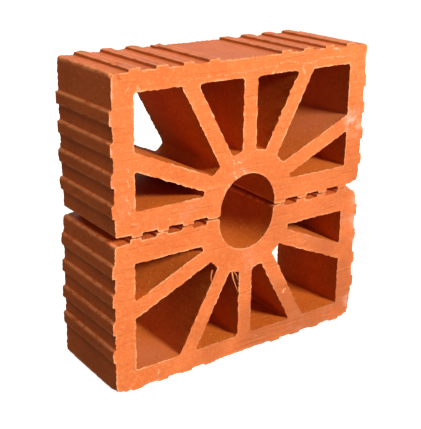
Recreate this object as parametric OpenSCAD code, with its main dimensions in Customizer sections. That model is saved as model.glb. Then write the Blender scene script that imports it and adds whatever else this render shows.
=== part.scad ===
// Round-hole screen block: two equal ribbed clay bricks, one laid upside down on the other.
// X runs along the width, Y through the holes with the front face towards -Y, Z is up.
// The origin is in the middle of the base, on the plane the lower ribs stand on.

/* [Brick] */
// Width of a brick over the ribs on its two ends
brick_w = 250; // [200:1:320]
// Height of one brick over the ribs on its two long faces
brick_h = 126.5; // [100:0.5:160]
// Length of the holes, from the front face to the back
brick_d = 83; // [50:1:140]

/* [Walls] */
// Thickness of the outer long wall, ribs left out
outer_wall = 15; // [10:0.5:22]
// Thickness of the wall that lies at the joint, ribs left out
joint_wall = 18; // [12:0.5:22]
// Thickness of the two end walls, ribs left out
end_wall = 18; // [12:0.5:26]
// Thickness of the five webs
web_t = 13.5; // [8:0.5:18]

/* [Round hole] */
// Radius of the round hole that the two bricks make
notch_r = 27; // [18:0.5:34]
// Height of its centre above the joint, which makes the hole a little taller than wide
notch_rise = 4.5; // [0:0.5:10]
// Wall left around the round hole, where the webs spring from
hub_wall = 20; // [12:0.5:26]

/* [Webs] */
// Slope of the two steep webs from level, in degrees
steep_angle = 61.5; // [56:0.5:66]
// Slope of the two low webs from level, in degrees
low_angle = 23.5; // [18:0.5:28]
// Height at which the low webs would cross above the hole's centre
low_rise = 8.5; // [4:0.5:12]

/* [Ribs] */
// How far a rib stands up
rib_h = 2.5; // [1:0.25:4]
// Width of a rib where it leaves the wall
rib_base = 11.5; // [8:0.5:14]
// Width of a rib's flat top
rib_top = 8.5; // [5:0.5:12]
// Distance from one rib to the next
rib_pitch = 23; // [17:0.5:28]
// Height of the lowest rib on the ends above the joint
end_rib_first = 23.5; // [14:0.5:30]
// Least plain wall between the last rib and the corner
rib_margin = 8; // [3:0.5:12]

/* [Edges] */
// Rounding inside the corners of the holes
hole_round = 2.5; // [0.5:0.5:5]
// Rounding of the brick's four long edges
edge_round = 2; // [0.5:0.5:4]

/* [Stacking] */
// How far the upper brick lies to the right of the lower one
stack_shift = 1; // [0:0.5:6]

/* [Hidden] */

clay = [0.84, 0.42, 0.23];
arc_steps = 32;
bury = 1;                            // depth by which ribs run into the wall they stand on
body_half = brick_w / 2 - rib_h;     // half width without the ribs
body_top = brick_h - rib_h;          // outer long face without the ribs
hole_top = body_top - outer_wall;
hole_floor = rib_h + joint_wall;
hole_side = body_half - end_wall;
hub = [0, notch_rise];
hub_r = notch_r + hub_wall;
far = 2 * brick_w;                   // reach of the wedges that are trimmed to the holes
face_rib_first = 1.5 * rib_pitch;    // first rib of a long face, counted from its middle
face_ribs = ribs_that_fit(face_rib_first, body_half);
end_ribs = ribs_that_fit(end_rib_first, body_top);

// How many ribs a wall takes between the first one and the corner at last.
function ribs_that_fit(first, last) =
    max(0, floor((last - rib_margin - rib_base / 2 - first) / rib_pitch) + 1);

// A wedge with its point at p, open between the directions from and to.
module wedge(p, from, to) {
    translate(p) polygon([
        [0, 0], far * [cos(from), sin(from)], far * [cos(to), sin(to)]
    ]);
}

// Where the edges of two webs meet: each web's middle line passes through a point at a slope,
// and side is 1 for its upper edge and -1 for its lower one.
function edge_point(p, slope, side) = p + side * web_t / 2 * [-sin(slope), cos(slope)];
function crossing(p, a, q, b) =
    p + [cos(a), sin(a)]
        * ((q - p)[0] * sin(b) - (q - p)[1] * cos(b)) / (cos(a) * sin(b) - sin(a) * cos(b));

low_axis = hub + [0, low_rise];
steep_point = crossing(edge_point(hub, 90, -1), 90, edge_point(hub, steep_angle, 1), steep_angle);
corner_point = crossing(
    edge_point(hub, steep_angle, -1), steep_angle, edge_point(low_axis, low_angle, 1), low_angle
);
thin_point = crossing(
    edge_point(low_axis, low_angle, -1), low_angle, [0, hole_floor], 0
);

// The room between the walls, outside the ring that is left around the round hole.
module hollow() {
    difference() {
        translate([0, hole_floor]) square([hole_side, hole_top - hole_floor]);
        translate(hub) circle(r = hub_r, $fn = 4 * arc_steps);
    }
}

// One hole: a wedge of the room, with its corners rounded.
module hole(p, from, to) {
    offset(r = hole_round, $fn = arc_steps) offset(delta = -hole_round)
        intersection() {
            hollow();
            wedge(p, from, to);
        }
}

// The three holes to the right of the middle web.
module right_holes() {
    hole(steep_point, steep_angle, 90);
    hole(corner_point, low_angle, steep_angle);
    hole(thin_point, 0, low_angle);
}

// Half of the round hole, with short straight sides down to the joint.
module notch() {
    translate(hub) circle(r = notch_r, $fn = 4 * arc_steps);
    translate([-notch_r, -bury]) square([2 * notch_r, notch_rise + bury]);
}

// A raised band on a wall, centred on x = 0 and standing up from y = 0.
module band(extra = 0) {
    polygon([
        [-(rib_base + extra) / 2, -bury], [(rib_base + extra) / 2, -bury],
        [(rib_base + extra) / 2, 0], [(rib_top + extra) / 2, rib_h],
        [-(rib_top + extra) / 2, rib_h], [-(rib_base + extra) / 2, 0]
    ]);
}

// Ribs of one end, on the right.
module right_end_ribs() {
    for (i = [0 : 1 : end_ribs - 1])
        translate([body_half, end_rib_first + i * rib_pitch]) rotate(-90) band();
}

// Ribs of the outer long face, in two groups with a plain middle.
module outer_ribs() {
    for (side = [-1, 1], i = [0 : 1 : face_ribs - 1])
        translate([side * (face_rib_first + i * rib_pitch), body_top]) band();
}

// Ribs of the face at the joint. The inner ones run on to the round hole as a broad land.
module joint_ribs() {
    translate([0, rib_h]) rotate(180) {
        band(extra = 2 * face_rib_first);
        for (side = [-1, 1], i = [1 : 1 : face_ribs - 1])
            translate([side * (face_rib_first + i * rib_pitch), 0]) band();
    }
}

// The plain block that carries the ribs.
module body() {
    offset(r = edge_round, $fn = arc_steps) offset(delta = -edge_round)
        translate([-body_half, rib_h]) square([2 * body_half, body_top - rib_h]);
}

// The section of one brick, standing on its notched side with the joint at y = 0.
module section() {
    difference() {
        union() {
            body();
            outer_ribs();
            joint_ribs();
            for (side = [0, 1]) mirror([side, 0]) right_end_ribs();
        }
        for (side = [0, 1]) mirror([side, 0]) right_holes();
        notch();
    }
}

// One brick, cut to length, on its notched side.
module brick() {
    color(clay) translate([0, brick_d / 2, 0]) rotate([90, 0, 0])
        linear_extrude(height = brick_d) section();
}

// The brick on top, notch down.
module upper_brick() {
    translate([stack_shift / 2, 0, brick_h]) brick();
}

// The brick below, turned over so that its notch faces up.
module lower_brick() {
    translate([-stack_shift / 2, 0, brick_h]) rotate([0, 180, 0]) brick();
}

upper_brick();
lower_brick();
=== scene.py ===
import math

import bmesh
import bpy
import numpy as np
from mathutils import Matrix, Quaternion, Vector, geometry, kdtree, noise


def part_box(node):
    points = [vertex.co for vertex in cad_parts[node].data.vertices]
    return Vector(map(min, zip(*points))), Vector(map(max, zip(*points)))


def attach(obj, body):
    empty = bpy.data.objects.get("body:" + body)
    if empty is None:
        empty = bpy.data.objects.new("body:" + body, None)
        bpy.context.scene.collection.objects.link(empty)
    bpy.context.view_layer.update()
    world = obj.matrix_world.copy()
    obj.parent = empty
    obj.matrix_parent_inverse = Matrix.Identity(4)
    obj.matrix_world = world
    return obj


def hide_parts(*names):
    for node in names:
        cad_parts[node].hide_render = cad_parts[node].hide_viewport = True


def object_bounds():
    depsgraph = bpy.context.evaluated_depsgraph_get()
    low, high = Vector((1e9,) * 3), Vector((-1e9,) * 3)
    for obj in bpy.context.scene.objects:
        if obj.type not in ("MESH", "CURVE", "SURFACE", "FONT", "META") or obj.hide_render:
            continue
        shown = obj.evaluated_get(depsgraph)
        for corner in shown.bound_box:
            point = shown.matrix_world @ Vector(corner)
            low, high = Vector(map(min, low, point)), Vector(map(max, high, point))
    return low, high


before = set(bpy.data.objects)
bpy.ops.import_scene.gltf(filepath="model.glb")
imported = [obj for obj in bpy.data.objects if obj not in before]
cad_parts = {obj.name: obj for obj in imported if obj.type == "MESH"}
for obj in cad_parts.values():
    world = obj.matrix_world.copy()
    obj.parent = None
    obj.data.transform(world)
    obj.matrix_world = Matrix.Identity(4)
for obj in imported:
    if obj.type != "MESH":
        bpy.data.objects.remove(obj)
cadLow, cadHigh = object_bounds()
middle = (cadLow + cadHigh) / 2
mm = 0.001
print("frame loaded:", ", ".join(sorted(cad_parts)))

# camera, floor and light

cameraView = {
    "place": (-0.4122, -0.5597, 0.3691),
    "azimuth": 35.89,    # degrees turned from straight ahead
    "elevation": 17.867,  # degrees looked down
    "roll": 0.740,
    "lens": 73.73,
    "shift": (0.0, -0.090),
}

studio = {
    "floorColour": (0.62, 0.62, 0.61, 1),
    "floorMottle": (0.58, 0.58, 0.57, 1),
    "floorGlow": 0.92,
    "floorReach": 6.0,    # from the middle to each side
    "floorGap": 0.0001,   # how far the floor lies under the lowest ribs
    "backdrop": (0.96, 0.96, 0.96, 1),    # what the camera sees past the floor
    "fill": (1.0, 0.79, 0.54, 1),         # warm light from all around
    "fillStrength": 0.17,
    "lamps": [
        # name, place, size, power, colour
        ("keyLamp", (0.50, -1.62, 1.12), (0.5, 0.4), 52, (1.0, 0.97, 0.93)),
        ("backLamp", (0.84, 1.16, 0.62), (1.3, 0.7), 2.4, (1.0, 0.97, 0.94)),
        ("topLamp", (-0.52, 0.05, 1.40), (0.4, 0.4), 4.7, (1.0, 0.90, 0.80)),
        ("sideLamp", (1.30, 0.30, 0.45), (0.6, 0.5), 7.0, (1.0, 0.97, 0.93)),
    ],
}


def addCamera(view):
    data = bpy.data.cameras.new("camera")
    data.lens = view["lens"]
    data.shift_x, data.shift_y = view["shift"]
    data.clip_start = 0.01
    camera = bpy.data.objects.new("camera", data)
    turn = math.radians(view["azimuth"])
    down = math.radians(view["elevation"])
    ahead = Vector((math.sin(turn) * math.cos(down), math.cos(turn) * math.cos(down), -math.sin(down)))
    camera.rotation_mode = "QUATERNION"
    roll = Quaternion((0, 0, 1), math.radians(view["roll"]))
    camera.rotation_quaternion = ahead.to_track_quat("-Z", "Y") @ roll
    camera.location = view["place"]
    bpy.context.scene.collection.objects.link(camera)
    bpy.context.scene.camera = camera


def addLamp(name, place, size, power, colour):
    data = bpy.data.lights.new(name, "AREA")
    data.shape = "RECTANGLE"
    data.size, data.size_y = size
    data.energy = power
    data.color = colour
    lamp = bpy.data.objects.new(name, data)
    lamp.location = place
    lamp.rotation_mode = "QUATERNION"
    lamp.rotation_quaternion = (middle - Vector(place)).to_track_quat("-Z", "Y")
    lamp.visible_camera = False
    bpy.context.scene.collection.objects.link(lamp)


# shader maths: a socket that takes part in Python sums, each operator adding one Math node

class Wire:
    def __init__(self, graph, socket):
        self.graph = graph
        self.socket = socket

    def math(self, operation, *others):
        sockets = dict(enumerate((self,) + others))
        return self.graph.add("ShaderNodeMath", {"operation": operation}, sockets)

    def __add__(self, other):
        return self.math("ADD", other)

    def __mul__(self, other):
        return self.math("MULTIPLY", other)

    def __sub__(self, other):
        return self.math("SUBTRACT", other)

    def __rsub__(self, other):
        return self.graph.add("ShaderNodeMath", {"operation": "SUBTRACT"}, {0: other, 1: self})

    __radd__ = __add__
    __rmul__ = __mul__

    def between(self, low, high):
        # 0 below low, 1 above high, smooth between them
        return self.graph.add("ShaderNodeMapRange", {"interpolation_type": "SMOOTHSTEP"}, {
            "Value": self, "From Min": low, "From Max": high,
        })


class Graph:
    def __init__(self, owner):
        self.owner = owner
        owner.use_nodes = True
        self.tree = owner.node_tree
        self.tree.nodes.clear()

    def add(self, kind, settings=None, sockets=None, out=0):
        # settings first, then socket values or links; out picks the output that comes back
        node = self.tree.nodes.new(kind)
        for name, value in (settings or {}).items():
            setattr(node, name, value)
        for name, value in (sockets or {}).items():
            if isinstance(value, Wire):
                self.tree.links.new(value.socket, node.inputs[name])
            else:
                node.inputs[name].default_value = value
        return Wire(self, node.outputs[out]) if node.outputs else None

    def mix(self, factor, under, over, blend="MIX"):
        # colours blended by a factor; the Mix node's colour sockets are 6 and 7
        settings = {"data_type": "RGBA", "blend_type": blend, "clamp_factor": True}
        return self.add("ShaderNodeMix", settings, {0: factor, 6: under, 7: over}, out=2)


# materials

clayLook = {
    "cut": (0.88, 0.214, 0.055, 1),     # wire-cut faces
    "cutDeep": (0.80, 0.185, 0.040, 1),
    "skin": (0.74, 0.158, 0.030, 1),    # outer faces that slid through the die
    "skinDeep": (0.60, 0.118, 0.022, 1),
    "hollow": (0.66, 0.148, 0.010, 1),  # walls of the hollows, with painted shade: this and the next are darker and less blue than the skin
    "hollowDeep": (0.56, 0.116, 0.006, 1),
    "shade": (0.42, 0.080, 0.012, 1),   # dark grains, painted shade on the steep sides of the ribs, and a darker line along the walls next to the cut edges
    "edge": (0.98, 0.50, 0.24, 1),      # crumbled cut edges, with a painted highlight along them
    "falloffShade": (0.56, 0.140, 0.040, 1),    # painted shade on the cut faces, darker towards the bottom and the right, where the key light falls off
    "bright": (0.95, 0.36, 0.15, 1),    # rubbed edges and loose dust, and a painted highlight on the end ribs' leaning sides
    "saltAndHighlight": (0.88, 0.45, 0.32, 1),     # whitish salts, and a painted highlight along the upper brick's left front edge
    # painted light: the pinkish, lit look of some hollow floors
    "paintedFloorLight": (0.72, 0.20, 0.075, 1),
    "pale": (0.95, 0.58, 0.34, 1),      # scratches and crumbs
    "scratches": [
        # from x, z to x, z, width (millimetres), strength (dark if negative)
        (29, 246, 24, 239, 0.9, 0.75),
        (31, 245, 39, 247, 0.7, 0.45),
        (39, 247, 52, 244, 0.7, 0.45),
        (52, 244, 63, 243, 0.7, 0.40),
        (63, 243, 75, 246, 0.7, 0.45),
        (75, 246, 110, 244, 0.7, 0.40),
        (39, 246, 64, 242, 0.6, -0.35),
        (-60, 242, 30, 244, 0.6, 0.35),
        (-112, 241, -40, 243, 0.6, -0.30),
        (88, 252, 95, 251, 1.3, 0.80),
        (56, 242, 57, 235, 1.8, 0.50),
        (-4, 207, 7, 205.4, 0.7, -0.75),
        (-110, 186, -107, 181, 1.0, 0.55),
        (-108, 174, -106, 169, 0.9, 0.55),
        (-110, 162, -106, 154, 1.0, 0.60),
        (-107, 150, -103, 144, 1.1, 0.65),
        (-104, 141, -101, 139, 1.0, 0.55),
        (-62, 140, -60, 133, 0.8, 0.45),
        (-72, 139, -71, 133, 0.8, 0.40),
        (-14, 176, -12, 171, 1.1, 0.85),
        (-8, 171, -4, 170, 1.0, 0.85),
        (-12, 163, -9, 158, 1.1, 0.80),
        (-3, 165, -1, 161, 1.0, 0.75),
        (-20, 150, -17, 156, 1.1, 0.75),
        (-83, 12, -83, 2, 1.1, 0.65),
        (-98, 242, -96, 238, 1.3, 0.70),
        (-109, 238, -106, 242, 0.9, 0.60),
        (43, 47, 46, 49, 1.3, 0.85),
        (42, 46, 43, 45, 1.0, -0.80),
    ],
}


def clayMaterial(look):
    graph = Graph(bpy.data.materials.new("firedClay"))
    place = graph.add("ShaderNodeTexCoord", out=3)
    names = ("cutFace", "rim", "hollow", "wornAndHighlit", "ribSideShade", "saltAndHighlight", "falloffShade", "paintedFloorLight")
    cut, rim, hollow, wornAndHighlit, ribSideShade, saltAndHighlight, falloffShade, paintedFloorLight = [
        graph.add("ShaderNodeAttribute", {"attribute_name": name}, out=2) for name in names
    ]

    def speckle(scale, detail, roughness=0.6, stretch=(1, 1, 1)):
        stretched = graph.add("ShaderNodeVectorMath", {"operation": "MULTIPLY"}, {0: place, 1: stretch})
        sockets = {"Vector": stretched, "Scale": scale, "Detail": detail, "Roughness": roughness}
        return graph.add("ShaderNodeTexNoise", None, sockets)

    clouds = speckle(22, 3)
    smudges = speckle(90, 5, 0.65)
    sand = speckle(330, 3, 0.75)
    grain = speckle(700, 4, 0.7)
    streaks = speckle(420, 3, 0.6, (1, 0.02, 1))    # along the way the clay slid through the die

    # the three kinds of face: cut faces, skin, and the hollows' walls, which are the skin with painted shade
    cutColour = graph.mix(clouds.between(0.35, 0.68), look["cut"], look["cutDeep"])
    drawn = (clouds * 0.75 + streaks * 0.25).between(0.36, 0.66)
    skinColour = graph.mix(drawn, look["skin"], look["skinDeep"])
    hollowColour = graph.mix(clouds.between(0.36, 0.66), look["hollow"], look["hollowDeep"])
    # painted shade: the hollows' walls take their darker colour
    colour = graph.mix(hollow, skinColour, hollowColour)
    colour = graph.mix(cut, colour, cutColour)

    # light and dark grains
    colour = graph.mix(grain.between(0.56, 0.74) * 0.30, colour, look["bright"])
    colour = graph.mix(sand.between(0.54, 0.66) * (0.12 + cut * 0.30), colour, look["bright"])
    colour = graph.mix(grain.between(0.44, 0.28) * 0.35, colour, look["skinDeep"])
    colour = graph.mix(sand.between(0.47, 0.33) * (0.50 - cut * 0.30), colour, look["shade"])

    # crumbled cut edges with a painted highlight, a darker line along the walls by the cuts, rubbed corners
    # with a painted highlight on the end ribs' sides, and painted shade on the ribs' steep sides
    colour = graph.mix(rim * cut * smudges.between(0.43, 0.56) * 0.85, colour, look["edge"])
    colour = graph.mix(rim * (1 - cut) * smudges.between(0.58, 0.44) * 0.6, colour, look["shade"])
    colour = graph.mix(wornAndHighlit * smudges.between(0.36, 0.54) * 0.75, colour, look["bright"])
    # painted shade on the steep sides of the outer face's ribs
    colour = graph.mix(ribSideShade * 0.6, colour, look["shade"])

    # painted shade where the light falls off, painted light on two hollow floors, and salty stretches with a
    # painted highlight
    colour = graph.mix(falloffShade * cut * clouds.between(0.20, 0.60), colour, look["falloffShade"])
    colour = graph.mix(paintedFloorLight * hollow * (1 - cut) * 0.75, colour, look["paintedFloorLight"])
    colour = graph.mix(saltAndHighlight * cut * smudges.between(0.42, 0.66), colour, look["saltAndHighlight"])

    # lines that the wire dragged across the cut faces
    drag = speckle(150, 4, 0.7, (0.10, 1, 1.6)).between(0.55, 0.72) * cut
    colour = graph.mix(drag * 0.22, colour, look["bright"])
    grooves = speckle(210, 3, 0.6, (0.14, 1, 1.5)).between(0.46, 0.30) * cut
    colour = graph.mix(grooves * 0.16, colour, look["skin"])

    # crumbs and pits, in a few of the cells that the lots pick
    cells = graph.add("ShaderNodeTexVoronoi", None, {"Vector": place, "Scale": 230, "Randomness": 1})
    lots = Wire(graph, cells.socket.node.outputs["Color"])
    crumbs = cells.between(0.26, 0.10) * lots.between(0.70, 0.80)
    colour = graph.mix(crumbs * (0.25 + cut * 0.45), colour, look["pale"])
    pits = cells.between(0.22, 0.08) * lots.between(0.30, 0.22)
    colour = graph.mix(pits * 0.55, colour, look["skinDeep"])

    # scratches on the front cut face, each a soft line between two points
    front = graph.add("ShaderNodeSeparateXYZ", None, {0: place}, out=1).between(-0.030, -0.036)
    broken = speckle(480, 3, 0.7).between(0.42, 0.58) * front
    wander = graph.add("ShaderNodeTexNoise", None, {"Vector": place, "Scale": 130.0}, out=1)
    wander = graph.add("ShaderNodeVectorMath", {"operation": "MULTIPLY_ADD"}, {
        0: wander, 1: (0.005, 0, 0.005), 2: place,
    })
    for x0, z0, x1, z1, width, strength in look["scratches"]:
        start = Vector((x0, 0, z0)) * mm
        along = Vector((x1 - x0, 0, z1 - z0)) * mm
        reach = along.length
        along.normalize()
        rel = graph.add("ShaderNodeVectorMath", {"operation": "SUBTRACT"}, {0: wander, 1: start})
        rel = graph.add("ShaderNodeVectorMath", {"operation": "MULTIPLY"}, {0: rel, 1: (1, 0, 1)})
        run = graph.add("ShaderNodeVectorMath", {"operation": "DOT_PRODUCT"}, {0: rel, 1: along}, out=1)
        run = run.math("MAXIMUM", 0.0).math("MINIMUM", reach)
        spot = graph.add("ShaderNodeVectorMath", {"operation": "SCALE"}, {0: along, "Scale": run})
        gap = graph.add("ShaderNodeVectorMath", {"operation": "DISTANCE"}, {0: rel, 1: spot}, out=1)
        line = gap.between(width * mm, width * mm * 0.3) * broken * abs(strength)
        colour = graph.mix(line, colour, look["pale"] if strength > 0 else look["skinDeep"])

    # relief and shine
    relief = grain * (0.3 + cut * 0.5) + sand * (0.4 + cut * 0.5) + smudges * 0.5 + streaks * (1 - cut) * 0.25
    relief = relief + (drag - grooves) * 0.5 + (crumbs - pits) * 0.8
    bump = graph.add("ShaderNodeBump", None, {"Strength": 0.6, "Distance": 0.0008, "Height": relief})
    shine = 0.50 + cut * 0.32 + hollow * (1 - cut) * 0.22 + (smudges - 0.5) * 0.16
    clay = graph.add("ShaderNodeBsdfPrincipled", None, {
        "Base Color": colour, "Roughness": shine, "Normal": bump, "Specular IOR Level": 0.3,
    })
    graph.add("ShaderNodeOutputMaterial", None, {"Surface": clay})
    return graph.owner


def floorMaterial():
    graph = Graph(bpy.data.materials.new("paleFloor"))
    place = graph.add("ShaderNodeTexCoord", out=3)
    mottle = graph.add("ShaderNodeTexNoise", None, {"Vector": place, "Scale": 3.0, "Detail": 2.0})
    colour = graph.mix(mottle * 0.2, studio["floorColour"], studio["floorMottle"])
    floor = graph.add("ShaderNodeBsdfPrincipled", None, {
        "Base Color": colour, "Roughness": 0.9,
        "Emission Color": (1, 1, 1, 1), "Emission Strength": studio["floorGlow"],
    })
    graph.add("ShaderNodeOutputMaterial", None, {"Surface": floor})
    return graph.owner


def addStudio():
    bpy.context.scene.view_settings.view_transform = "Standard"
    world = bpy.data.worlds.new("studioWorld")
    graph = Graph(world)
    fill = graph.add("ShaderNodeBackground", None, {
        "Color": studio["fill"], "Strength": studio["fillStrength"],
    })
    backdrop = graph.add("ShaderNodeBackground", None, {"Color": studio["backdrop"]})
    seen = graph.add("ShaderNodeLightPath")    # its first output is Is Camera Ray
    either = graph.add("ShaderNodeMixShader", None, {0: seen, 1: fill, 2: backdrop})
    graph.add("ShaderNodeOutputWorld", None, {"Surface": either})
    bpy.context.scene.world = world
    for lamp in studio["lamps"]:
        addLamp(*lamp)
    addFloor()


def addFloor():
    reach = studio["floorReach"]
    height = cadLow.z - studio["floorGap"]
    data = bpy.data.meshes.new("floor")
    corners = [(-reach, -reach), (reach, -reach), (reach, reach), (-reach, reach)]
    data.from_pydata([(x, y, height) for x, y in corners], [], [(0, 1, 2, 3)])
    data.materials.append(floorMaterial())
    floor = bpy.data.objects.new("floor", data)
    floor.visible_diffuse = floor.visible_glossy = False
    bpy.context.scene.collection.objects.link(floor)


# the brick's section, in millimetres, with the joint at height 0 and the middle web at 0 across

upperLow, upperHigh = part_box("upper_brick")

brickSizes = {
    "width": (upperHigh.x - upperLow.x) / mm,
    "height": (upperHigh.z - upperLow.z) / mm,
    "depth": (upperHigh.y - upperLow.y) / mm,
    "outerWall": 15.3,
    "jointWall": 18.0,
    "endWall": 18.3,
    "web": 13.5,
    "notchRadius": 27.0,
    "notchRise": 4.5,
    "hubWall": 20.0,
    "steepSlope": 61.5,
    "lowSlope": 23.5,
    "lowRise": 8.5,
    "jointRib": 2.5,   # height of the ribs that meet at the joint
    "outerRib": 2.2,   # height of the ribs on the ends, after wear
    "faceRib": 2.2,    # height of the ribs on the outer face
    "endBevels": (0.5, 1.4),    # the ribs' sides lean this much on the ends, joint side first
    "ribRounds": (0.7, 0.9),    # radii at a rib's feet and top corners
    "landRounds": (1.6, 1.0, 0.8),    # radii at the round hole's edge, the joint land's end and its foot
    "endRounds": (2.0, 2.4),    # radii of the block's corners, at the joint and at the outer face
    "ribBase": 10.9,
    "ribTop": 9.6,
    "ribPitch": 23.0,
    "endRibFirst": 23.5,
    "ribs": 4,
    "step": 1.0,       # spacing of the outline's points
    "inner": 1.5,      # spacing of the points inside a cut face
    # radii of the hollows' corners: four of the middle one, five of the corner one, four of the low one
    "holeRounds": (2.0, 2.0, 2.4, 2.8, 2.0, 2.0, 2.0, 3.0, 2.2, 1.4, 1.8, 1.6, 1.2),
}
lowerSizes = dict(
    brickSizes, faceRib=1.5, outerWall=16.0, endBevels=(1.4, 0.5),
    holeRounds=(2.0, 2.0, 1.2, 3.2, 1.6, 1.8, 1.0, 1.2, 2.4, 1.0, 1.2, 1.0, 0.7),
)


def roundOff(corners, step):
    # corners are (x, y, radius); the answer follows them with round corners and even steps
    arcStep = 0.7
    mostOfSide = 0.48                 # a round takes no more than this share of a side
    almostStraight = math.radians(88)
    outline = []
    count = len(corners)
    for i in range(count):
        here = Vector(corners[i][:2])
        back = Vector(corners[i - 1][:2]) - here
        ahead = Vector(corners[(i + 1) % count][:2]) - here
        half = back.angle(ahead) / 2
        radius = min(corners[i][2], mostOfSide * math.tan(half) * min(back.length, ahead.length))
        if radius == 0 or half > almostStraight:
            outline.append(here)
            continue
        back.normalize()
        ahead.normalize()
        centre = here + (back + ahead).normalized() * radius / math.sin(half)
        start = here + back * radius / math.tan(half)
        sweep = math.pi - 2 * half
        sign = 1 if back.x * ahead.y - back.y * ahead.x < 0 else -1
        arcSteps = max(2, round(radius * sweep / arcStep))
        for k in range(arcSteps + 1):
            angle = sign * sweep * k / arcSteps
            arm = start - centre
            outline.append(centre + Vector((
                arm.x * math.cos(angle) - arm.y * math.sin(angle),
                arm.x * math.sin(angle) + arm.y * math.cos(angle),
            )))
    even = []
    for i, point in enumerate(outline):
        following = outline[(i + 1) % len(outline)]
        parts = max(1, round((following - point).length / step))
        even += [point.lerp(following, k / parts) for k in range(parts)]
    return even


def ribCorners(start, way, out, height, centres, sizes, bevels=(0.6, 0.6)):
    # corners of the ribs along one wall, walked in the direction way; bevels are how far each side leans
    corners = []
    top = sizes["ribTop"] / 2
    near, far = -top - bevels[0], top + bevels[1]
    foot, crown = sizes["ribRounds"]
    for centre in centres:
        for along, up, radius in ((near, 0, foot), (-top, 1, crown), (top, 1, crown), (far, 0, foot)):
            point = start + way * (centre + along) + out * up * height
            corners.append((point.x, point.y, radius))
    return corners


def outerOutline(sizes):
    rib = sizes["jointRib"]
    outer = sizes["outerRib"]
    half = sizes["width"] / 2 - outer
    top = sizes["height"] - sizes["faceRib"]
    pitch = sizes["ribPitch"]
    faceRibs = [(1.5 + i) * pitch for i in range(sizes["ribs"])]
    endRibs = [sizes["endRibFirst"] + i * pitch for i in range(sizes["ribs"])]
    land = faceRibs[0] + sizes["ribTop"] / 2
    foot = faceRibs[0] + sizes["ribBase"] / 2
    radius = sizes["notchRadius"]
    edgeRound, landRound, footRound = sizes["landRounds"]
    jointRound, faceRound = sizes["endRounds"]
    right = [(radius, 0, edgeRound), (land, 0, landRound), (foot, rib, footRound)]
    right += ribCorners(Vector((0, rib)), Vector((1, 0)), Vector((0, -1)), rib, faceRibs[1:], sizes)
    right.append((half, rib, jointRound))
    right += ribCorners(
        Vector((half, 0)), Vector((0, 1)), Vector((1, 0)), outer, endRibs, sizes, sizes["endBevels"],
    )
    right.append((half, top, faceRound))
    backwards = [-c for c in reversed(faceRibs)]
    right += ribCorners(Vector((0, top)), Vector((-1, 0)), Vector((0, 1)), sizes["faceRib"], backwards, sizes)
    left = [(-x, y, r) for x, y, r in reversed(right)]
    notchSteps = 70
    arc = []
    for k in range(notchSteps + 1):
        angle = math.pi * (1 - k / notchSteps)
        arc.append((radius * math.cos(angle), sizes["notchRise"] + radius * math.sin(angle), 0))
    return roundOff(right + left + arc, sizes["step"])


def holeOutlines(sizes):
    half = sizes["width"] / 2 - sizes["outerRib"]
    top = sizes["height"] - sizes["faceRib"] - sizes["outerWall"]
    floor = sizes["jointRib"] + sizes["jointWall"]
    side = half - sizes["endWall"]
    hub = Vector((0, sizes["notchRise"]))
    ring = sizes["notchRadius"] + sizes["hubWall"]

    def webEdge(middlePoint, slope, edge):
        # a point on a web's edge, and the direction it runs in
        way = Vector((math.cos(slope), math.sin(slope)))
        return middlePoint + edge * sizes["web"] / 2 * Vector((-way.y, way.x)), way

    def atRing(line):
        start, way = line
        off = start - hub
        along = off.dot(way)
        return start + way * (math.sqrt(along * along - off.length_squared + ring * ring) - along)

    def atHeight(line, height):
        start, way = line
        return start + way * (height - start.y) / way.y

    def atSide(line, across):
        start, way = line
        return start + way * (across - start.x) / way.x

    steep = math.radians(sizes["steepSlope"])
    low = math.radians(sizes["lowSlope"])
    lowAxis = hub + Vector((0, sizes["lowRise"]))
    centre = webEdge(hub, math.pi / 2, -1)
    steepUpper = webEdge(hub, steep, 1)
    steepLower = webEdge(hub, steep, -1)
    lowUpper = webEdge(lowAxis, low, 1)
    lowLower = webEdge(lowAxis, low, -1)
    ledge = (Vector((0, floor)), Vector((1, 0)))
    middleHole = [atRing(centre), atRing(steepUpper), atHeight(steepUpper, top), Vector((centre[0].x, top))]
    cornerHole = [
        atRing(steepLower), atRing(lowUpper), atSide(lowUpper, side),
        Vector((side, top)), atHeight(steepLower, top),
    ]
    lowHole = [atRing(ledge), Vector((side, floor)), atSide(lowLower, side), atRing(lowLower)]
    rounds = sizes["holeRounds"]
    shared = {0: rounds[0:4], 1: rounds[4:9], 2: rounds[9:13]}
    outlines = []
    for kind, hole in enumerate((middleHole, cornerHole, lowHole)):
        for mirror in (1, -1):
            corners = [(mirror * p.x, p.y, r) for p, r in zip(hole, shared[kind])]
            outline = roundOff(corners if mirror == 1 else corners[::-1], sizes["step"])
            outlines.append(outline[::-1])
    return outlines


def insideSection(points, loops):
    # even-odd test against every loop at once
    inside = np.zeros(len(points), bool)
    for loop in loops:
        ring = np.array([p[:] for p in loop])
        for (x0, y0), (x1, y1) in zip(ring, np.roll(ring, -1, axis=0)):
            crosses = (y0 > points[:, 1]) != (y1 > points[:, 1])
            if y0 != y1:
                across = x0 + (points[:, 1] - y0) / (y1 - y0) * (x1 - x0)
                inside ^= crosses & (points[:, 0] < across)
    return inside


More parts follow.
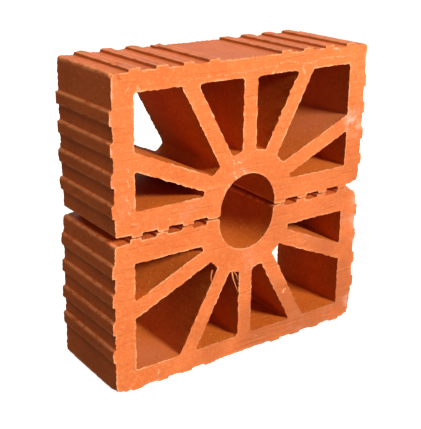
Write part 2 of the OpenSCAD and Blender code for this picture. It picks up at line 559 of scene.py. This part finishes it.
def sectionMesh(sizes):
    # the outlines, the points inside a cut face and the triangles that fill it
    loops = [outerOutline(sizes)] + holeOutlines(sizes)
    edge = [p for loop in loops for p in loop]
    tree = kdtree.KDTree(len(edge))
    for i, p in enumerate(edge):
        tree.insert((p.x, p.y, 0), i)
    tree.balance()
    step = sizes["inner"]
    rise = step * 0.866    # rows this far apart make even triangles
    clear = step * 0.75    # no inner point is nearer than this to an outline
    rows = int(sizes["height"] / rise)
    columns = int(sizes["width"] / step)
    grid = []
    for row in range(rows):
        for column in range(columns):
            grid.append((
                -sizes["width"] / 2 + (column + 0.5 * (row % 2)) * step,
                (row + 0.5) * rise,
            ))
    grid = np.array(grid)
    grid = grid[insideSection(grid, loops)]
    inner = [Vector(p) for p in grid if tree.find((p[0], p[1], 0))[2] > clear]
    links = []
    first = 0
    for loop in loops:
        count = len(loop)
        links += [(first + i, first + (i + 1) % count) for i in range(count)]
        first += count
    filled = geometry.delaunay_2d_cdt(edge + inner, links, [], 0, 1e-6)
    points, triangles, origins = filled[0], filled[2], filled[3]
    middles = np.array([np.mean([points[i][:] for i in t], axis=0) for t in triangles])
    keep = insideSection(middles, loops)
    order = [o[0] for o in origins]
    triangles = [[order[i] for i in t] for t, k in zip(triangles, keep) if k]
    return loops, inner, triangles, tree


wear = {
    # all in millimetres
    "ragged": 0.62,       # how far a cut edge wanders
    "raggedReach": 1.3,   # how deep that goes into the brick
    "quiet": 0.45,        # the round hole's cleaner edge has this share of it
    "hubZone": 6,         # the round hole's wall lies within this much of its radius
    "lip": 0.30,          # clay dragged up along a cut edge
    "cutBack": 0.45,      # cut faces lie this far inside the block's full depth
    "swell": 0.16,        # slow waves of the cut faces
    "grit": 0.10,         # small bumps of the cut faces
    "waver": 0.22,        # slow waves of the faces that slid through the die
    "drawnIn": 0.12,      # those faces lie this far inside the die's outline
    "crumble": 0.10,      # their small bumps
    "rubbed": 0.55,       # what outward corners lose
    "rings": (3.2, 9.0),  # spacing of the rings of points along outer walls and along hollows
    "jointGap": 0.25,     # the joint's land falls short by this much
    "jointReach": 6,      # the joint's wear fades out over this height
    "hubSag": 0.5,        # extra gap beside the round hole
    "hubReach": 13,       # which ends this far outside the hole
    "slit": 1.3,          # extra gap in the round hole, all of it from slitRun behind the front
    "slitRun": 40,
    "endDrops": {"left": 1.0, "right": 2.2},    # extra gap at the two ends
    "endRun": (108, 15),  # where the drop starts, and the length that has all of it
    "endTaper": 1.27,     # how much narrower each end is at the joint
    "tip": (104.5, 15),   # where the ends' taper starts, and how far it takes
}


def loopNormals(loop):
    normals = []
    for i in range(len(loop)):
        along = loop[(i + 1) % len(loop)] - loop[i - 1]
        normals.append(Vector((along.y, -along.x)).normalized())
    return normals


def edgeNoise(along, seed, face):
    # scalloped wandering of a cut edge: stepped teeth on slower waves
    slow = noise.noise(Vector((along * 0.05, seed, face * 7.3)))
    teeth = noise.noise(Vector((along * 0.23, seed + 31.7, face * 5.1)))
    fine = noise.noise(Vector((along * 0.75, seed + 11.3, face * 3.7)))
    return 0.3 * slow + 0.5 * math.tanh(3.2 * teeth) + 0.7 * fine


def settle(x, y, depth, sizes):
    # the fired brick's slow departures from the die's outline
    height = sizes["height"]
    tipStart, tipRun = wear["tip"]
    outside = min(max((abs(x) - tipStart) / tipRun, 0), 1)
    low = min(max(1 - y / height, 0), 1)
    x -= math.copysign(wear["endTaper"] * low ** 1.4 * outside, x)
    if y < wear["jointReach"]:
        near = 1 - y / wear["jointReach"]
        y += near * wear["jointGap"]
        beside = abs(x) - sizes["notchRadius"]
        if beside < wear["hubReach"]:
            behind = min(depth / wear["slitRun"], 1)
            y += near * wear["hubSag"] * math.exp(-(beside / 4) ** 2)
            y += near * wear["slit"] * behind * math.exp(-((beside + 1) / 3) ** 2)
        dropStart, dropRun = wear["endRun"]
        drop = max(0, abs(x) - dropStart) / dropRun
        y += near * drop * wear["endDrops"]["right" if x > 0 else "left"]
    return x, y


def convexity(loop):
    # 1 on outward corners, 0 on flats and inward ones
    count = len(loop)
    wornAndHighlit = []
    for i, p in enumerate(loop):
        before = p - loop[i - 2]
        after = loop[(i + 2) % count] - p
        turn = before.x * after.y - before.y * after.x
        bend = turn / max(before.length * after.length, 1e-6)
        wornAndHighlit.append(min(max(bend * 2.2, 0), 1))
    return wornAndHighlit


def ribSideShading(loop, corners, sizes):
    # 1 on the steep sides of the outer face's ribs, where shade is painted; the leaning sides of the end ribs
    # join the worn corners, with a painted highlight
    ribSideShades = []
    half = sizes["width"] / 2 - sizes["outerRib"]
    top = sizes["height"] - sizes["faceRib"]
    for i, p in enumerate(loop):
        up = (p.y - top) / sizes["faceRib"]
        out = (abs(p.x) - half) / sizes["outerRib"]
        ribSideShades.append(1.0 if -0.05 < up < 0.7 and 0.02 < abs(up) and out < 0 else 0.0)
        # a painted highlight on the end ribs' leaning sides, added to the rubbed corners
        if 0.1 < out < 0.95 and up < 0:
            corners[i] = max(corners[i], 0.9)
    return ribSideShades


chips = [
    # place x, y, z, radius, push x, y, z (millimetres)
    (-122, -41, 250.5, 3.6, 1.0, 1.3, -0.8),
    (-117, -41, 246, 3.0, 0.4, 1.2, 0.2),
    (124, -40, 2, 11.0, -1.9, 0.9, 1.7),
    (124, -40, 16, 10.0, -0.9, 0.5, 0.2),
    (-122, -40, 2, 7.0, 1.2, 0.6, 0.8),
    (43.5, -41.5, 46.5, 3.2, -0.3, 0.9, 0.2),
    (46, -41, 226, 2.5, -1.2, 0.0, 0.6),
    (42, -41, 219, 3.0, -1.5, -0.3, 0.7),
    (39.5, -41, 214, 1.8, -1.1, 0.4, 0.2),
    (34, -41, 204, 2.8, -1.4, -0.3, 0.6),
    (31, -41, 199, 1.8, -1.3, 0.3, 0.3),
    (25, -41, 188, 2.4, -1.1, -0.2, 0.5),
    (60, -41, 150, 2.5, 0.0, -0.2, 1.1),
    (69, -41, 150, 2.2, 0.0, 0.3, -0.8),
    (88, -41, 150, 2.5, 0.0, -0.2, 1.2),
    (96, -41, 150, 2.2, 0.0, -0.2, 0.8),
    (-105, -20, 252, 4.0, 0.2, 0.0, -0.8),
    (-34.5, 36, 253, 9.0, 0.0, 0.2, -1.3),
    (120, -40, 128.5, 6.0, -1.2, 0.5, 0.9),
    (121, -40, 124, 7.0, -1.6, 0.6, -1.4),
    (-121, -40, 124, 5.0, 0.8, 0.5, -0.6),
    (-125, 12, 150, 5.0, 0.8, 0.0, 0.0),
    (-125, -12, 173, 4.0, 0.6, 0.0, 0.0),
    (125, 20, 196, 6.0, -0.9, 0.0, 0.0),
    (60, 40, 0.5, 8.0, 0.0, -0.8, 0.9),
]


def chipped(x, y, z):
    # moves a point that lies in a chip by the chip's push, most at its middle; metres in and out
    for cx, cy, cz, radius, px, py, pz in chips:
        away = ((x / mm - cx) ** 2 + (y / mm - cy) ** 2 + (z / mm - cz) ** 2) / radius ** 2
        if away < 1:
            rough = 1 + 0.35 * noise.noise(Vector((x, y, z)) * 450)
            share = (1 - away) * rough * mm
            x, y, z = x + px * share, y + py * share, z + pz * share
    return x, y, z


slivers = [
    # points x, y, z of one curl of clay, and its thickness (millimetres)
    ([(-32.2, -39.4, 82.5), (-34.0, -40.4, 78.0), (-33.8, -40.6, 73.5), (-31.6, -40.2, 69.0)], 0.7),
    ([(-12.6, -39.6, 76.4), (-12.0, -40.6, 70.5), (-9.6, -40.8, 64.0), (-6.2, -40.4, 56.0)], 0.8),
    ([(-11.4, -39.6, 76.6), (-8.6, -40.6, 72.6), (-7.8, -40.6, 68.6)], 0.6),
]


class Shell:
    # one brick's points, faces and masks while it is made
    def __init__(self, node, sizes, turned):
        self.low, self.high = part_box(node)
        self.centreX = (self.low.x + self.high.x) / 2
        self.turned = turned
        self.depth = sizes["depth"] - 2 * wear["cutBack"]
        self.front = -sizes["depth"] / 2 + wear["cutBack"]
        self.vertices, self.faces = [], []
        self.masks = {"cutFace": [], "rim": [], "hollow": [], "wornAndHighlit": [], "ribSideShade": []}

    def keep(self, point, *marks):
        # marks hold one value for each mask
        self.vertices.append(point)
        for layer, value in zip(self.masks.values(), marks):
            layer.append(value)

    def addPoint(self, x, y, z, *marks):
        # from the section's millimetres to the block's metres, chipped and kept inside the CAD box
        height = self.high.z - z * mm if self.turned else self.low.z + z * mm
        point = chipped(self.centreX + x * mm, y * mm, height)
        self.keep(tuple(min(max(v, a), b) for v, a, b in zip(point, self.low, self.high)), *marks)


def addSliver(shell, points, thick):
    # a flattened tube that thins out towards its loose end
    path = [Vector(p) for p in points]
    steps = 7 * (len(path) - 1)
    around = 6
    thinning = 0.75
    flatness = 0.5
    first = len(shell.vertices)
    for k in range(steps + 1):
        along = k / steps * (len(path) - 1)
        i = min(int(along), len(path) - 2)
        before = path[max(i - 1, 0)]
        after = path[min(i + 2, len(path) - 1)]
        t = along - i
        here = 0.5 * (
            2 * path[i] + (path[i + 1] - before) * t
            + (2 * before - 5 * path[i] + 4 * path[i + 1] - after) * t * t
            + (3 * path[i] - before - 3 * path[i + 1] + after) * t ** 3
        )
        radius = thick * (1 - thinning * k / steps) * (1 + 0.3 * noise.noise(here * 0.9))
        for a in range(around):
            turn = 2 * math.pi * a / around
            at = here + Vector((math.cos(turn) * radius, math.sin(turn) * radius * flatness, 0))
            point = (shell.centreX + at.x * mm, at.y * mm, shell.low.z + at.z * mm)
            shell.keep(point, 1.0, 0.6, 0.0, 0.0, 0.0)
    for k in range(steps):
        for a in range(around):
            b = (a + 1) % around
            row = first + k * around
            shell.faces.append((row + a, row + b, row + around + b, row + around + a))
    shell.faces.append(tuple(first + a for a in reversed(range(around))))
    last = first + steps * around
    shell.faces.append(tuple(last + a for a in range(around)))


def ringDepths(depth, spacing):
    # distances from the front cut to each ring of points, close together near the two cuts
    near = [0.0, 0.35, 0.9, 1.9, 3.4]
    spans = max(1, round((depth - 2 * near[-1]) / spacing))
    between = [near[-1] + (depth - 2 * near[-1]) * k / spans for k in range(1, spans)]
    return near + between + [depth - n for n in reversed(near)]


def cutEdges(loop, number, seed, sizes):
    # how far each point of an outline wanders at the front cut, and at the back one
    hubZone = sizes["notchRadius"] + wear["hubZone"]
    lengths = np.cumsum([0] + [(loop[(i + 1) % len(loop)] - loop[i]).length for i in range(len(loop))])
    quiet = [wear["quiet"] if number == 0 and p.length < hubZone else 1.0 for p in loop]
    return [
        [q * wear["ragged"] * edgeNoise(s, seed + number * 3.9, face) for s, q in zip(lengths, quiet)]
        for face in (0, 1)
    ]


def wallWander(p, d, corner, seed):
    # how far a wall strays from the die's outline at depth d
    wave = Vector((p.x * 0.03, d * 0.02, p.y * 0.03 + seed))
    crumb = Vector((p.x * 0.35, d * 0.35, p.y * 0.35 + seed * 2))
    rubbed = corner * wear["rubbed"] * max(0, noise.noise(crumb * 0.6 + Vector((9, 4, 2))))
    return wear["waver"] * noise.noise(wave) - wear["drawnIn"] + wear["crumble"] * noise.noise(crumb) - rubbed


def addWalls(shell, loop, number, edges, seed, sizes):
    # rings of points along one outline; the answer is where the front ring and the back ring start
    outside = number == 0
    hubZone = sizes["notchRadius"] + wear["hubZone"]
    normals = loopNormals(loop)
    corners = convexity(loop) if outside else [0.0] * len(loop)
    ribSideShades = ribSideShading(loop, corners, sizes) if outside else [0.0] * len(loop)
    starts = []
    for d in ringDepths(shell.depth, wear["rings"][0 if outside else 1]):
        starts.append(len(shell.vertices))
        fromFront = math.exp(-d / wear["raggedReach"])
        fromBack = math.exp(-(shell.depth - d) / wear["raggedReach"])
        atCut = d == 0 or d == shell.depth
        for i, (p, n) in enumerate(zip(loop, normals)):
            shift = edges[0][i] * fromFront + edges[1][i] * fromBack + wallWander(p, d, corners[i], seed)
            at = Vector(settle(p.x + n.x * shift, p.y + n.y * shift, d, sizes))
            lip = 0.0
            if atCut:
                lift = wear["lip"] * (0.5 + noise.noise(Vector((p.x * 0.25, p.y * 0.25, seed + d))))
                lip = -lift if d == 0 else lift
            inHollow = 1.0 if not outside or p.length < hubZone else 0.0
            shell.addPoint(
                at.x, shell.front + d + lip, at.y,
                1.0 if atCut else 0.0, max(fromFront, fromBack) ** 3, inHollow, corners[i], ribSideShades[i],
            )
    count = len(loop)
    for a, b in zip(starts, starts[1:]):
        for i in range(count):
            j = (i + 1) % count
            shell.faces.append((a + i, a + j, b + j, b + i))
    return starts[0], starts[-1]


def addCutFace(shell, section, face, starts, edges, seed, sizes):
    # fills the front cut (face 0) or the back one (face 1) between the outlines
    loops, inner, triangles, tree = section
    d = shell.depth if face else 0.0
    index = []
    shifts = []
    for loop, start, edge in zip(loops, starts, edges):
        index += range(start, start + len(loop))
        shifts += [n * r for n, r in zip(loopNormals(loop), edge[face])]
    firstInner = len(shell.vertices)
    for p in inner:
        which, far = tree.find((p.x, p.y, 0))[1:]    # the nearest outline point, and how far off it is
        at = p + shifts[which] * math.exp(-(far / 1.6) ** 2)
        at = Vector(settle(at.x, at.y, d, sizes))
        out = wear["swell"] * noise.noise(Vector((p.x * 0.045, p.y * 0.045, seed + face * 9)))
        out += wear["grit"] * noise.noise(Vector((p.x * 0.3, p.y * 0.3, seed + face * 5)))
        out += wear["lip"] * math.exp(-(far / 1.1) ** 2) * 0.6
        # the rim mask gives the crumbled edge colour with a painted highlight near the outlines
        rim = math.exp(-(far / 0.8) ** 2)
        shell.addPoint(at.x, shell.front + d + (out if face else -out), at.y, 1.0, rim, 0.0, 0.0, 0.0)
    index += range(firstInner, len(shell.vertices))
    for a, b, c in triangles:
        corner = (index[a], index[b], index[c])
        shell.faces.append(corner if face == 0 else corner[::-1])


def finishMesh(name, shell, material):
    data = bpy.data.meshes.new(name)
    data.from_pydata(shell.vertices, [], shell.faces)
    tidied = bmesh.new()
    tidied.from_mesh(data)
    bmesh.ops.recalc_face_normals(tidied, faces=tidied.faces)
    tidied.to_mesh(data)
    tidied.free()
    patches = {"saltAndHighlight": saltAndHighlightPatches, "falloffShade": falloffShadePatches, "paintedFloorLight": paintedFloorLightPatches}
    for label, spots in patches.items():
        shell.masks[label] = patchMask(shell.vertices, spots)
    for label, values in shell.masks.items():
        layer = data.attributes.new(label, "FLOAT", "POINT")
        layer.data.foreach_set("value", values)
    data.materials.append(material)
    data.validate()
    data.shade_smooth()
    data.set_sharp_from_angle(angle=math.radians(50))
    return data


def buildBrick(name, node, sizes, turned, seed, material):
    section = sectionMesh(sizes)
    loops = section[0]
    shell = Shell(node, sizes, turned)
    edges = [cutEdges(loop, number, seed, sizes) for number, loop in enumerate(loops)]
    starts = [addWalls(shell, loop, i, edges[i], seed, sizes) for i, loop in enumerate(loops)]
    for face in (0, 1):
        addCutFace(shell, section, face, [pair[face] for pair in starts], edges, seed, sizes)
    if turned:
        shell.faces = [f[::-1] for f in shell.faces]
        for points, thick in slivers:
            addSliver(shell, points, thick)
    brick = bpy.data.objects.new(name, finishMesh(name, shell, material))
    bpy.context.scene.collection.objects.link(brick)
    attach(brick, "root")
    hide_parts(node)
    print(name, "made with", len(brick.data.polygons), "faces")


# each patch: x, y, z, radius (millimetres), strength
saltAndHighlightPatches = [
    (108, -41, 183, 8, 0.8),
    (114, -41, 190, 9, 0.8),
    (118, -41, 178, 6, 0.6),
    (123, -41, 112, 7, 0.7),
    (123, -41, 95, 7, 0.6),
    (123, -41, 75, 6, 0.6),
    (122, -41, 40, 8, 0.4),
    (120, -41, 22, 7, 0.7),
    (122, -41, 12, 6, 0.5),
    (112, -41, 90, 9, 0.25),
    (-113, -41, 152, 9, 0.15),
    (-60, -41, 139, 10, 0.2),
    (-90, -41, 134, 10, 0.1),
    (-8, -41, 162, 8, 0.4),
    (-14, -41, 153, 7, 0.5),
    (-26, -41, 140, 4, 0.7),
    (5, -41, 84, 9, 0.35),
    (25, -41, 62, 8, 0.3),
    (60, -41, 10, 10, 0.25),
    (98, -41, 9, 8, 0.25),
    (70, -41, 96, 10, 0.3),
    (118, -41, 226, 6, 0.4),
    (60, -41, 238, 6, 0.4),
]
# a painted highlight along the upper brick's left front edge
saltAndHighlightPatches += [(-124.5, -41.5, 132 + 8 * k, 3.4, 0.75) for k in range(15)]
paintedFloorLightPatches = [
    (-85, -24, 17, 24, 1.0),     # painted light on the floors of two corner hollows
    (90, -24, 188, 26, 0.9),
]
# painted shade: the cut faces darker towards the bottom and the right
falloffShadePatches = [
    (90, -41, 12, 50, 0.8),
    (20, -41, 10, 40, 0.8),
    (-40, -41, 12, 30, 0.5),
    (118, -41, 60, 40, 0.8),
    (118, -41, 110, 26, 0.6),
    (60, -41, 112, 40, 0.25),
    (110, -41, 150, 50, 0.45),
    (45, -41, 60, 60, 0.30),
    (0, -41, 126, 46, 0.25),
]


def patchMask(vertices, patches):
    points = np.array(vertices) / mm
    mask = np.zeros(len(points))
    for x, y, z, radius, strength in patches:
        away = np.sum((points - (x, y, z)) ** 2, axis=1)
        mask += strength * np.exp(-away / radius ** 2)
    return np.clip(mask, 0, 1)


addCamera(cameraView)
addStudio()
print("camera and studio ready")
clay = clayMaterial(clayLook)
print("clay ready")
buildBrick("upperBrick", "upper_brick", brickSizes, False, 1.7, clay)
buildBrick("lowerBrick", "lower_brick", lowerSizes, True, 8.3, clay)
